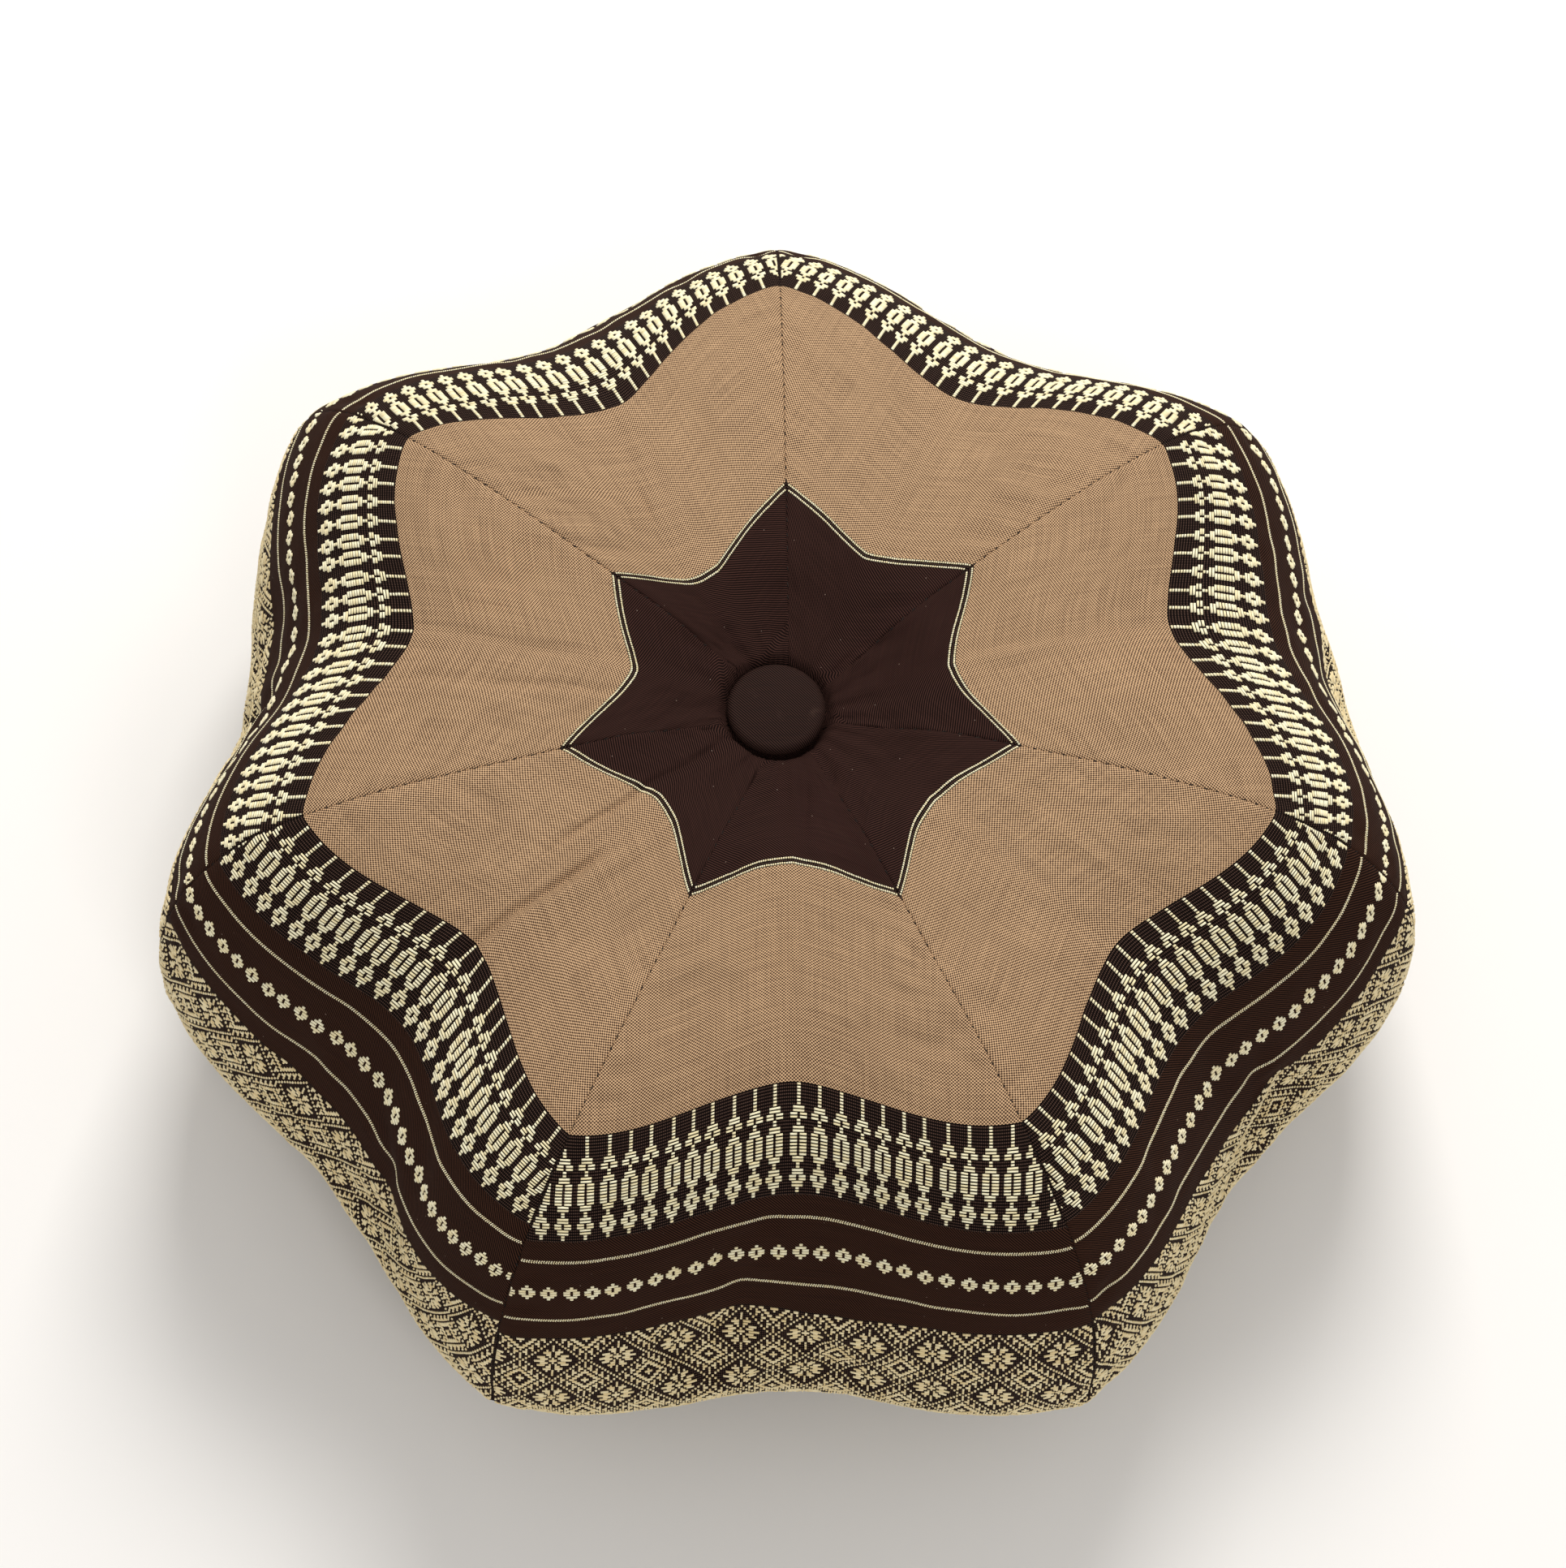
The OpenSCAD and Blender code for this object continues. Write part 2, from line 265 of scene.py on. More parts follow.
# Distance down the cloth of each band line, measured half-way across the front gore
ANCHOR_V = regular_arcs(FRONT_GORE, np.array([0.5]))[:, 0]
STAR_V, TAN_V, LINE_1_V, LINE_2_V, LATTICE_V, _, END_V = ANCHOR_V[1:]
LATTICE_ROWS = LATTICE_TALL * LATTICE_REPEATS + 1
MIRROR_V = LATTICE_V + LATTICE_ROWS * LATTICE_PITCH / 2
FLOWER_V = (LINE_1_V + LINE_2_V) / 2


def gore_points(k, a, v):
    """Points of gore k at columns a and at distances v down the cloth."""
    arcs = monotone(ANCHOR_V, anchor_arcs(k, a), v)
    xyz, _, arc = meridians(k, a)
    out = np.empty((len(v), len(a), 3))
    for i in range(len(a)):
        for axis in range(3):
            out[:, i, axis] = np.interp(arcs[:, i], arc[:, i], xyz[:, i, axis])
    return out


def outline_middle():
    """Middle of the widest outline, which the CAD model has at its origin."""
    a = np.linspace(-1, 1, 40, endpoint=False)
    ring = np.concatenate([meridians(k, a)[0][CROWN_N - 1] for k in range(GORES)])
    middle = (ring.max(0) + ring.min(0)) / 2
    middle[2] = 0
    return middle


CENTRE = outline_middle()

# The visual cover's own stuffing: how much further out the rim stands than the CAD solids' rim
RIM_SEAM = np.array([-5.0, 0, 2, 2, 0, -3, 4])
RIM_VALLEY = np.array([6.0, 16, 2, 0, 1, -4, 12])
SEAM_FULLER = SEAM_FULLER + RIM_SEAM
VALLEY_FULLER = VALLEY_FULLER + RIM_VALLEY



# ---- mesh helpers
def linked(name, data):
    made = bpy.data.objects.new(name, data)
    bpy.context.scene.collection.objects.link(made)
    return made


def mesh_object(name, points_mm, faces, uv=None):
    """A smooth mesh object from points in millimetres, with one UV pair in millimetres each."""
    mesh = bpy.data.meshes.new(name)
    mesh.from_pydata(((np.asarray(points_mm) - CENTRE) * MM).tolist(), [], faces)
    if uv is not None:
        corners = [i for face in faces for i in face]
        layer = mesh.uv_layers.new(name="cloth")
        layer.data.foreach_set("uv", np.asarray(uv, np.float32)[corners].ravel())
    mesh.polygons.foreach_set("use_smooth", np.full(len(faces), True))
    mesh.update()
    return linked(name, mesh)


def grid_faces(rows, columns, wrap=False):
    """Quads of a grid of points stored row by row, facing outwards."""
    last = columns if wrap else columns - 1
    i = np.arange(rows - 1)[:, None]
    j = np.arange(last)[None, :]
    a = i * columns + j
    b = i * columns + (j + 1) % columns
    return np.stack([a, b, b + columns, a + columns], -1).reshape(-1, 4).tolist()


def capped(rings):
    """Points and faces of a closed body from rings, with a point in the middle of each end."""
    rows, sides = rings.shape[:2]
    points = np.concatenate([rings.reshape(-1, 3), [rings[0].mean(0), rings[-1].mean(0)]])
    top, base, first = rows * sides, rows * sides + 1, (rows - 1) * sides
    faces = grid_faces(rows, sides, wrap=True)
    faces += [[top, (j + 1) % sides, j] for j in range(sides)]
    faces += [[base, first + j, first + (j + 1) % sides] for j in range(sides)]
    return points, faces


def unit_vectors(vectors):
    return vectors / np.maximum(np.linalg.norm(vectors, axis=-1, keepdims=True), 1e-9)


def grid_normals(points):
    down = np.gradient(points, axis=0)
    over = np.gradient(points, axis=1)
    return unit_vectors(np.cross(over, down))


# ---- the stuffed shape
COARSE_ACROSS = 24
COARSE_STEP = 7.0
SWELL_CAP = 5.0
# The cloth is held under the button, and where it rests on the floor
HELD_R = 26.0
FLOOR_R = 190.0
FLOOR_H = 2.5
SIMULATED_FRAMES = 24
# How strongly points draw in: from least to most on a seam, and in the cloth its spread
SEAM_DRAW = (0.4, 1.0)
CLOTH_DRAW = 0.12
MOST_DRAW = 0.5


def coarse_cover():
    """The cover as rings of points down the cloth, all gores welded together."""
    v = np.linspace(TIP_V, END_V - TIP_V, int(END_V / COARSE_STEP))
    a = np.linspace(-1, 1, COARSE_ACROSS + 1)
    rings = np.concatenate([gore_points(k, a, v)[:, :-1] for k in range(GORES)], axis=1)
    return v, rings


def wrapped_normals(rings):
    wrapped = np.concatenate([rings[:, -1:], rings, rings[:, :1]], axis=1)
    return grid_normals(wrapped)[:, 1:-1]


def simulated_shift(rings):
    """How far cloth simulation under pressure moves each point of the coarse cover."""
    rows, sides = rings.shape[:2]
    slack = np.random.default_rng(11)
    points, faces = capped(rings)
    body = mesh_object("stuffing", points, faces)
    before = (points - CENTRE) * MM
    radius = np.hypot(points[:, 0], points[:, 1])
    held = body.vertex_groups.new(name="held")
    on_floor = (points[:, 2] < FLOOR_H) & (radius < FLOOR_R)
    held.add(np.flatnonzero((radius < HELD_R) | on_floor).tolist(), 1.0, "REPLACE")
    # the seams draw in, and the cloth between them gives a little, each point by its own share
    column = np.arange(rows * sides) % sides % COARSE_ACROSS
    seam = body.vertex_groups.new(name="seam")
    for i in np.flatnonzero(column == 0):
        seam.add([int(i)], slack.uniform(*SEAM_DRAW), "REPLACE")
    draw = np.minimum(np.abs(slack.normal(0, CLOTH_DRAW, rows * sides)), MOST_DRAW)
    for i in np.flatnonzero(column):
        seam.add([int(i)], float(draw[i]), "REPLACE")
    cloth = body.modifiers.new("cloth", "CLOTH")
    settings = cloth.settings
    settings.quality = 6
    settings.mass = 0.35
    settings.tension_stiffness = 40
    settings.compression_stiffness = 40
    settings.shear_stiffness = 12
    settings.bending_stiffness = 2.0
    settings.use_pressure = True
    settings.uniform_pressure_force = 5.0
    settings.vertex_group_mass = "held"
    settings.vertex_group_shrink = "seam"
    settings.shrink_min = -0.018
    settings.shrink_max = 0.01
    settings.effector_weights.gravity = 0
    cloth.collision_settings.use_collision = False
    cloth.point_cache.frame_start = 1
    cloth.point_cache.frame_end = SIMULATED_FRAMES
    for step in range(SIMULATED_FRAMES):
        bpy.context.scene.frame_set(step + 1)
    graph = bpy.context.evaluated_depsgraph_get()
    moved = body.evaluated_get(graph).to_mesh()
    after = np.empty(len(points) * 3)
    moved.vertices.foreach_get("co", after)
    bpy.context.scene.frame_set(1)
    bpy.data.objects.remove(body)
    shift = (after.reshape(-1, 3) - before)[: rows * sides] / MM
    shift = shift.reshape(rows, sides, 3)
    # the cover is cut smaller by what its gores swell on average, so their unevenness stays
    normals = wrapped_normals(rings)
    swell = np.sum(shift * normals, axis=-1).reshape(rows, GORES, COARSE_ACROSS)
    average = np.tile(swell.mean(axis=1), (1, GORES))
    shift = shift - normals * average[..., None]
    size = np.linalg.norm(shift, axis=-1, keepdims=True)
    return shift * SWELL_CAP * np.tanh(size / SWELL_CAP) / np.maximum(size, 1e-6)


def cubic_weights(count, at):
    """Matrix of Catmull-Rom weights from count evenly spaced points to places at."""
    i = np.clip(np.floor(at).astype(int), 0, count - 2)
    t = at - i
    weights = (
        (-t + 2 * t**2 - t**3) / 2,
        (2 - 5 * t**2 + 3 * t**3) / 2,
        (t + 4 * t**2 - 3 * t**3) / 2,
        (-(t**2) + t**3) / 2,
    )
    matrix = np.zeros((len(at), count))
    for offset, weight in enumerate(weights, -1):
        column = np.clip(i + offset, 0, count - 1)
        np.add.at(matrix, (np.arange(len(at)), column), weight)
    return matrix


coarse_v, coarse_rings = coarse_cover()
coarse_shift = simulated_shift(coarse_rings)

# ---- fine gores
STEPS_ACROSS = 112
ROW_STEP = 2.4
EDGE_CROWDING = 1.35
# The cloth tucks in at the seam and rolls up beside it
TUCK_DEPTH = 0.55
TUCK_W = 0.7
ROLL_H = 0.3
ROLL_AT = 4.0
ROLL_W = 4.0
# How far the shared direction of two gores reaches from their seam
SEAM_REACH = 3.0
# The half width of a gore where its seam relief starts, and over which it grows
NARROW = 8.0
NARROW_SOFT = 36.0
BUTTON_R = 21.0
FLOOR_GAP = 0.6
UP = np.array([0, 0, 1.0])

# Round the button: small puckers, a swell close to it, and how wide both are
PUCKER_H = 0.5
PUCKER_FROM = 22.0
PUCKER_AT = 34.0
PUCKER_SOFT = 8.0
PUCKERS = 21
SWELL_BY_BUTTON = 4.6
SWELL_AT = 26.0
SWELL_FROM = 22.8
SWELL_SOFT = 3.2
BY_BUTTON_W = 16.0
FAR = 400.0
# Below the widest line the same folds are shallow and point down
BELOW_SHARE = -0.3

# Soft dips down the valleys, ridges beside the creases, and gathers along the seams
DIP_W = 5.0
DIP_SOFT = 30.0
CREASE_END = 24.0
RIDGE_SHARE = 0.45
RIDGE_W = 4.5
GATHER_H = 0.22
GATHER_W = 9.0

# Half the steps of the table that finds a column from its share of the gore's width
TABLE_HALF = 80
# How deep the turned-in allowance is at each of its rows, and how far it stays from the seam
ALLOWANCE_ROWS = np.array([1.5, 4.5, ALLOWANCE])
ALLOWANCE_GAP = 0.25
FULL_ALLOWANCE_W = 60.0

evenly = np.linspace(-1, 1, STEPS_ACROSS + 1)
COLUMNS = np.sign(evenly) * (1 - (1 - np.abs(evenly)) ** EDGE_CROWDING)
ROWS = np.linspace(TIP_V, END_V - TIP_V, int(END_V / ROW_STEP))
WRAP_A = (COLUMNS + 1) / 2 * COARSE_ACROSS
ROW_AT = (ROWS - coarse_v[0]) / (coarse_v[1] - coarse_v[0])
TO_ROWS = cubic_weights(len(coarse_v), ROW_AT)

# How deep the soft dip down each valley is between the star and the pins
VALLEY_DIP = np.array([0.3, 0.5, 0.5, 0.3, 0.5, 0.5, 0.4])
BUTTON_BOX = np.array(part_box("top_button_cover")) / MM
BUTTON_AT = BUTTON_BOX.mean(axis=0)[:2] + CENTRE[:2]


def beside(k, side):
    """The level direction square to the upright plane through a seam of gore k."""
    h = heading(k, side)
    return np.array([-math.sin(h), math.cos(h), 0])


def lerp(low, high, t):
    return low * (1 - t) + high * t


def bell(x, width):
    return np.exp(-((x / width) ** 2))


def between(x, low, high, soft):
    """1 inside low to high, falling to 0 over soft on both sides."""
    up = np.clip((x - low) / soft + 0.5, 0, 1)
    down = np.clip((high - x) / soft + 0.5, 0, 1)
    return up * up * (3 - 2 * up) * down * down * (3 - 2 * down)


class Gore:
    """One gore's surface: points and normals on a grid of rows v and columns a."""

    def __init__(self, k):
        self.k = k
        points = gore_points(k, COLUMNS, ROWS)
        # one more coarse column on each side keeps the surface smooth across the seams
        columns = k * COARSE_ACROSS + np.arange(-1, COARSE_ACROSS + 2)
        shift = coarse_shift[:, columns % (GORES * COARSE_ACROSS)]
        weights = cubic_weights(len(columns), WRAP_A + 1)
        points = points + np.einsum("ri,ijc,aj->rac", TO_ROWS, shift, weights)
        points = points + self.soft_folds(points)
        normals = grid_normals(points)
        widths = np.linalg.norm(np.diff(points, axis=1), axis=-1)
        run = np.concatenate([np.zeros((len(ROWS), 1)), np.cumsum(widths, axis=1)], axis=1)
        self.u = run - run[:, [STEPS_ACROSS // 2]]
        self.low, self.high = self.u[:, 0], self.u[:, -1]
        edge = np.minimum(self.u - self.low[:, None], self.high[:, None] - self.u)
        # at the seam the normal lies in the upright plane through it, the same for both gores
        for side, column in ((-1, 0), (1, -1)):
            sideways = beside(k, side)
            flat = normals[:, column] - (normals[:, column] @ sideways)[:, None] * sideways
            near = np.exp(-np.abs(self.u - self.u[:, [column]]) / SEAM_REACH)[..., None]
            normals = unit_vectors(lerp(normals, unit_vectors(flat)[:, None], near))
        tuck = TUCK_DEPTH * np.exp(-((edge / TUCK_W) ** 1.5))
        relief = ROLL_H * bell(edge - ROLL_AT, ROLL_W) - tuck
        grown = np.clip((self.high - NARROW) / NARROW_SOFT, 0, 1)[:, None]
        points = points + normals * (relief * grown)[..., None]
        points[..., 2] = np.maximum(points[..., 2], FLOOR_GAP)
        self.points = points
        self.seam_normals = (normals[:, 0].copy(), normals[:, -1].copy())
        self.normals = grid_normals(points)
        self.normals[:, 0] = normals[:, 0]
        self.normals[:, -1] = normals[:, -1]
        share = np.linspace(-1, 1, 2 * TABLE_HALF + 1)
        self.table = np.empty((len(ROWS), len(share)))
        for j in range(len(ROWS)):
            goal = np.where(share < 0, -share * self.low[j], share * self.high[j])
            self.table[j] = np.interp(goal, self.u[j], COLUMNS)

    def soft_folds(self, points):
        """Small folds the simulation is too coarse for: puckers at the buttons and creases."""
        k = self.k
        radius = np.hypot(points[..., 0] - BUTTON_AT[0], points[..., 1] - BUTTON_AT[1])
        column = COLUMNS[None, :]
        turn = heading(k, column)
        v = ROWS[:, None]
        width = radius * HALF_GORE
        mid = column * width
        waves = np.cos(PUCKERS * turn + 0.7 * np.sin(3 * turn)) * (1 - column**8)
        pucker = bell(radius - PUCKER_AT, BY_BUTTON_W)
        pucker = pucker * between(radius, PUCKER_FROM, FAR, PUCKER_SOFT)
        swell = bell(np.maximum(radius - SWELL_AT, 0), BY_BUTTON_W)
        swell = swell * between(radius, SWELL_FROM, FAR, SWELL_SOFT)
        rising = PUCKER_H * pucker * waves + SWELL_BY_BUTTON * swell
        rising = rising * np.where(points[..., 2] > WIDEST_Z, 1.0, BELOW_SHARE)
        dip = VALLEY_DIP[k] * between(v, STAR_V - 12, TAN_V + 10, DIP_SOFT)
        lift = -dip * bell(mid - 4 * np.sin(v / 31.0 + k), DIP_W)
        for gore, v_0, u_0, v_1, u_1, depth, wide in CREASES:
            if gore == k:
                line = u_0 + (u_1 - u_0) * (v - v_0) / (v_1 - v_0) + 0.6 * np.sin(v / 9.0 + u_0)
                run = depth * between(v, v_0, v_1, min(CREASE_END, 0.7 * (v_1 - v_0)))
                ridge = RIDGE_SHARE * run * bell(mid - line + 5, RIDGE_W)
                lift = lift - run * bell(mid - line, wide) + ridge
        inner = (1 - np.abs(column)) * width
        gather = np.sin(v / 3.4 + 1.7 * np.sin(v / 19.0 + 2 * k) + k)
        lift = lift + GATHER_H * gather * np.exp(-inner / GATHER_W) * (1 - column**40)
        # round the button the cloth rises straight up, so that neighbouring gores stay joined
        return grid_normals(points) * lift[..., None] + rising[..., None] * UP

    def place(self, u, v, out):
        """Points of the gore at cloth places (u, v), raised by out."""
        j = np.clip((v - ROWS[0]) / (ROWS[1] - ROWS[0]), 0, len(ROWS) - 1.001)
        j0 = j.astype(int)
        jt = j - j0
        low = lerp(self.low[j0], self.low[j0 + 1], jt)
        high = lerp(self.high[j0], self.high[j0 + 1], jt)
        share = np.where(u < 0, -u / low, u / high)
        m = np.clip((share + 1) * TABLE_HALF, 0, 2 * TABLE_HALF - 0.001)
        m0 = m.astype(int)
        mt = m - m0
        above, below = (lerp(self.table[n, m0], self.table[n, m0 + 1], mt) for n in (j0, j0 + 1))
        a = lerp(above, below, jt)
        i = np.clip(np.interp(a, COLUMNS, np.arange(len(COLUMNS))), 0, len(COLUMNS) - 1.001)
        i0 = i.astype(int)
        it = (i - i0)[:, None]
        jt = jt[:, None]

        def blend(values):
            rows = (lerp(values[n, i0], values[n, i0 + 1], it) for n in (j0, j0 + 1))
            return lerp(*rows, jt)

        return blend(self.points) + unit_vectors(blend(self.normals)) * np.asarray(out)[:, None]

    def limits(self, v):
        """Lowest and highest u of the cloth at distance v."""
        return np.interp(v, ROWS, self.low), np.interp(v, ROWS, self.high)

    def cloth(self):
        """The gore's cloth with its allowances turned in along both seams."""
        fit = np.clip(self.high / FULL_ALLOWANCE_W, 0.1, 1)[:, None]
        flanges = []
        for side, column, normal in ((-1, 0, self.seam_normals[0]), (1, -1, self.seam_normals[1])):
            edge = self.points[:, column]
            away = beside(self.k, side) * (ALLOWANCE_GAP * side)
            rows = [edge - normal * deep * fit + away * fit for deep in ALLOWANCE_ROWS]
            flanges.append(np.stack(rows, axis=1))
        left, right = flanges[0][:, ::-1], flanges[1]
        points = np.concatenate([left, self.points, right], axis=1)
        left_u = self.low[:, None] - ALLOWANCE_ROWS[::-1]
        right_u = self.high[:, None] + ALLOWANCE_ROWS
        u = np.concatenate([left_u, self.u, right_u], axis=1)
        v = np.repeat(ROWS[:, None], points.shape[1], axis=1)
        uv = np.stack([u, v], -1).reshape(-1, 2)
        return points.reshape(-1, 3), grid_faces(len(ROWS), points.shape[1]), uv


# ---- woven figures
# A bar is [u, v, angle, half length, half width, height]: thread lying on the cloth.
# THREAD_W is half the width of a thread whose rows are a UNIT apart.
THREAD_W = 0.6
THREAD_H = 0.5
STITCH_H = 0.35
THREAD_SUNK = 0.25
# How far threads stay inside the seams, and stitches with slanted ends
MARGIN = 0.7
END_MARGIN = 0.4
SHORTEST = 0.5
# How far the loom and the hand stray: place in mm, angle in radians, share of a size
PLACE_STRAY = 0.03
FLOAT_STRAY = 0.012
STITCH_STRAY = 0.06
FIGURE_STRAY = 0.3
WIDTHS = (0.93, 1.07)
HEIGHTS = (0.85, 1.15)
# No figure lies nearer than this to the cloth's lower tip
BARE_TIP = 28.0
BARS = {
    "narrow": ((-0.56, 0.56),),
    "wide": ((-1.6, 1.6),),
    "pair": ((-2.35, -0.28), (0.28, 2.35)),
}
PIN_DRAFT = (
    ("narrow", 7), ("wide", 2), ("pair", 2), ("narrow", 2), ("wide", 2), ("pair", 7),
    ("wide", 2), ("narrow", 2), ("wide", 2), ("pair", 2), ("wide", 2), ("narrow", 2),
)
FLOWER_DRAFT = (("narrow", 1), ("wide", 1), ("pair", 2), ("wide", 1), ("narrow", 1))
PIN_ROWS = sum(count for _, count in PIN_DRAFT)
FLOWER_ROWS = sum(count for _, count in FLOWER_DRAFT)
PIN_REPEAT = 6
FLOAT_GAP = 0.06
# Half of each row of the eight-petalled star, from its middle row outwards, in columns
STAR_DRAFT = (
    ((0, 1.5), (2.5, 6.5)),
    ((0, 0.5), (1.5, 4.5)),
    ((0.5, 1.5), (2.5, 5.5)),
    ((0.5, 2.5),),
    ((0.5, 3.5),),
    ((0, 0.5), (1.5, 2.5)),
    ((0, 0.5),),
    ((0, 0.5),),
)
# The same for the small diamond between four stars, with its rings and its stem
DIAMOND_DRAFT = (
    ((0, 1.5), (3.5, 5.5), (6.5, 8.5)),
    ((0, 0.5), (2.5, 4.5), (5.5, 6.5), (7.5, 8.5)),
    ((1.5, 3.5), (4.5, 6.5)),
    ((0.5, 2.5), (3.5, 4.5), (5.5, 6.5)),
    ((0, 1.5), (2.5, 4.5)),
    ((0, 0.5), (1.5, 2.5), (3.5, 4.5)),
    ((0.5, 2.5),),
    ((0, 0.5), (1.5, 2.5)),
    ((0, 0.5),),
    ((0, 0.5),),
)


def weft_bars(gore, spans, v, pitch):
    """Bars along rows a pitch apart, cut off at the seams. spans are (start, end) in u."""
    spans = np.asarray(spans, float).reshape(-1, 2)
    v = np.broadcast_to(v, len(spans))
    low, high = gore.limits(v)
    start = np.maximum(spans[:, 0], low + MARGIN)
    end = np.minimum(spans[:, 1], high - MARGIN)
    keep = end - start > SHORTEST
    start, end, v = start[keep], end[keep], v[keep]
    n = len(start)
    bars = np.empty((n, 6))
    bars[:, 0] = (start + end) / 2
    bars[:, 1] = v + rng.normal(0, PLACE_STRAY, n)
    bars[:, 2] = rng.normal(0, FLOAT_STRAY, n)
    bars[:, 3] = (end - start) / 2
    bars[:, 4] = THREAD_W * pitch / UNIT * rng.uniform(*WIDTHS, n)
    bars[:, 5] = THREAD_H * rng.uniform(*HEIGHTS, n)
    return bars


def figure_bars(gore, draft, first_v, pitch, phase, wander):
    """A row of figures of one draft across the gore, each woven a little out of place."""
    _, high = gore.limits(first_v)
    reach = int(high / UNIT / PIN_REPEAT) + 3
    at = (np.arange(-reach, reach) + 0.5) * PIN_REPEAT * UNIT + phase
    at = at + rng.normal(0, FIGURE_STRAY, 2 * reach)
    down = rng.normal(0, wander, 2 * reach)
    found = []
    v = first_v + pitch / 2
    for kind, count in draft:
        for _ in range(count):
            for start, end in BARS[kind]:
                spans = np.stack([at + start * UNIT, at + end * UNIT], -1)
                found.append(weft_bars(gore, spans, v + down, pitch))
            v += pitch
    return np.concatenate(found)


def both_sides(middle, halves):
    """Spans on both sides of a column from half of them. One that starts at 0 is joined."""
    spans = []
    for low, high in halves:
        if low == 0:
            spans.append((middle - high, middle + high))
        else:
            spans += [(middle + low, middle + high), (middle - high, middle - low)]
    return spans


def lattice_row(row):
    """Spans of one row of the lattice over a repeat, in columns and rows from a star's middle."""
    from_star = abs((row + LATTICE_TALL // 2) % LATTICE_TALL - LATTICE_TALL // 2)
    from_diamond = LATTICE_TALL // 2 - from_star
    spans = []
    if from_star < len(STAR_DRAFT):
        spans += both_sides(0, STAR_DRAFT[from_star])
    if from_diamond < len(DIAMOND_DRAFT):
        spans += both_sides(LATTICE_WIDE / 2, DIAMOND_DRAFT[from_diamond])
    # the dotted lines move one column a row, from their crossing above a star to one beside it
    dotted = [(0, 0.5)] if from_diamond == 0 else [(from_diamond - 0.5, from_diamond + 0.5)]
    return spans + both_sides(0, dotted)


def lattice_bars(gore):
    found = []
    for n in range(LATTICE_ROWS):
        v = LATTICE_V + (n + 0.5) * LATTICE_PITCH
        _, high = gore.limits(v)
        reach = int(high / LATTICE_COLUMN / LATTICE_WIDE) + 2
        one = np.array(lattice_row(n - LATTICE_TALL // 2)) + (FLOAT_GAP, -FLOAT_GAP)
        repeats = LATTICE_WIDE * np.arange(-reach, reach)
        spans = (repeats[:, None, None] + one) * LATTICE_COLUMN + LATTICE_PHASE[gore.k]
        found.append(weft_bars(gore, spans, v, LATTICE_PITCH))
    return np.concatenate(found)


def stitch_line(gore, v, pitch, angle, half_length, half_width, offset=0.0):
    """Short slanted stitches side by side along a row."""
    low, high = gore.limits(v)
    u = np.arange(low + MARGIN + offset, high - MARGIN, pitch)
    n = len(u)
    bars = np.empty((n, 6))
    bars[:, 0] = u + rng.normal(0, PLACE_STRAY, n)
    bars[:, 1] = v + rng.normal(0, PLACE_STRAY, n)
    bars[:, 2] = angle + rng.normal(0, STITCH_STRAY, n)
    bars[:, 3] = half_length
    bars[:, 4] = half_width
    bars[:, 5] = STITCH_H * rng.uniform(*HEIGHTS, n)
    return bars


def mirrored(bars):
    """The same figures in the lower half of the cloth."""
    under = bars.copy()
    under[:, 1] = 2 * MIRROR_V - under[:, 1]
    under[:, 2] = -under[:, 2]
    return under[under[:, 1] < END_V - BARE_TIP]


def fitted(gore, bars):
    """Bars whose ends lie inside the gore at their own row."""
    low, high = gore.limits(bars[:, 1])
    start, end = bars[:, 0] - bars[:, 3], bars[:, 0] + bars[:, 3]
    return bars[(start > low + END_MARGIN) & (end < high - END_MARGIN)]


# A pillow's top is this much shorter at each end, and this share as wide as its foot
PILLOW_TRIM = 0.28
PILLOW_TOP = 0.5
# A pillow's six faces, over its lower and its upper four corners
PILLOW = np.array(
    [[0, 3, 2, 1], [4, 5, 6, 7], [0, 1, 5, 4], [1, 2, 6, 5], [2, 3, 7, 6], [3, 0, 4, 7]]
)


def bar_mesh(name, gore, bars):
    """Each bar as a low closed pillow of thread, its foot in the cloth."""
    n = len(bars)
    u, v, angle, length, width, height = bars.T
    along, over, out = [], [], []
    foot = np.full(n, -THREAD_SUNK)
    for level, trim, narrow in ((foot, 0.0, 1.0), (height, PILLOW_TRIM, PILLOW_TOP)):
        for su, sv in ((-1, -1), (1, -1), (1, 1), (-1, 1)):
            along.append(su * (length - np.minimum(trim, 0.4 * length)))
            over.append(sv * width * narrow)
            out.append(level)
    along, over, out = (np.stack(x, 1) for x in (along, over, out))
    c, s = np.cos(angle)[:, None], np.sin(angle)[:, None]
    pu = u[:, None] + along * c - over * s
    pv = v[:, None] + along * s + over * c
    points = gore.place(pu.ravel(), pv.ravel(), out.ravel())
    faces = (np.arange(n)[:, None, None] * 8 + PILLOW).reshape(-1, 4).tolist()
    uv = np.stack([along.ravel(), pv.ravel()], -1)
    return mesh_object(name, points, faces, uv)


